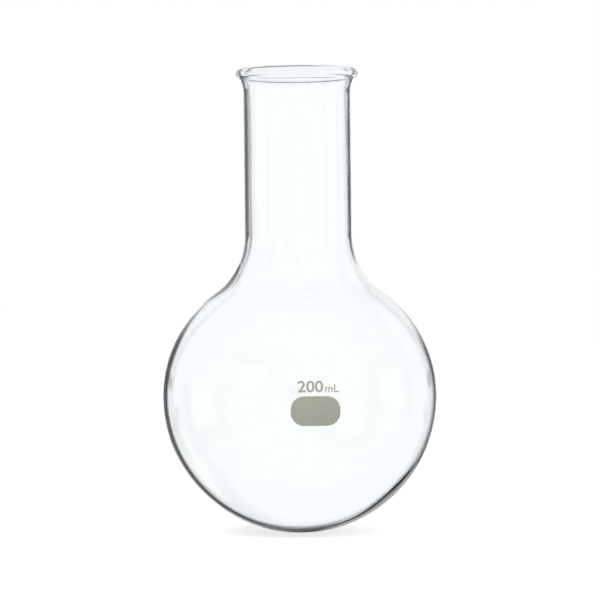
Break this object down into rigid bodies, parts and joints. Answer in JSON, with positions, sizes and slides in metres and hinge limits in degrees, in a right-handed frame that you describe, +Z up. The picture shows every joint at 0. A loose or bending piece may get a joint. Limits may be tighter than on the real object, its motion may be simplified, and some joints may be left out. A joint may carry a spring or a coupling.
{
  "type": "round-bottom flask",
  "caption": "Spherical glass flask with a straight narrow neck, a flared beaded rim and an enamel writing spot on the bulb, for heating and boiling liquids.",
  "frame": {"origin": "lowest point of the bulb, on the flask's axis", "axes": "+Z up the neck along the flask's axis, -Y towards the side that carries the enamel marking"},
  "size_m": [0.085, 0.0851, 0.144],
  "materials": {
    "borosilicate_glass": "clear fire-polished borosilicate glass",
    "fired_enamel": "matt warm-grey glass enamel, fired on"
  },
  "bodies": {
    "root": {"flask": "borosilicate_glass", "marking_spot": "fired_enamel"}
  },
  "joints": []
}
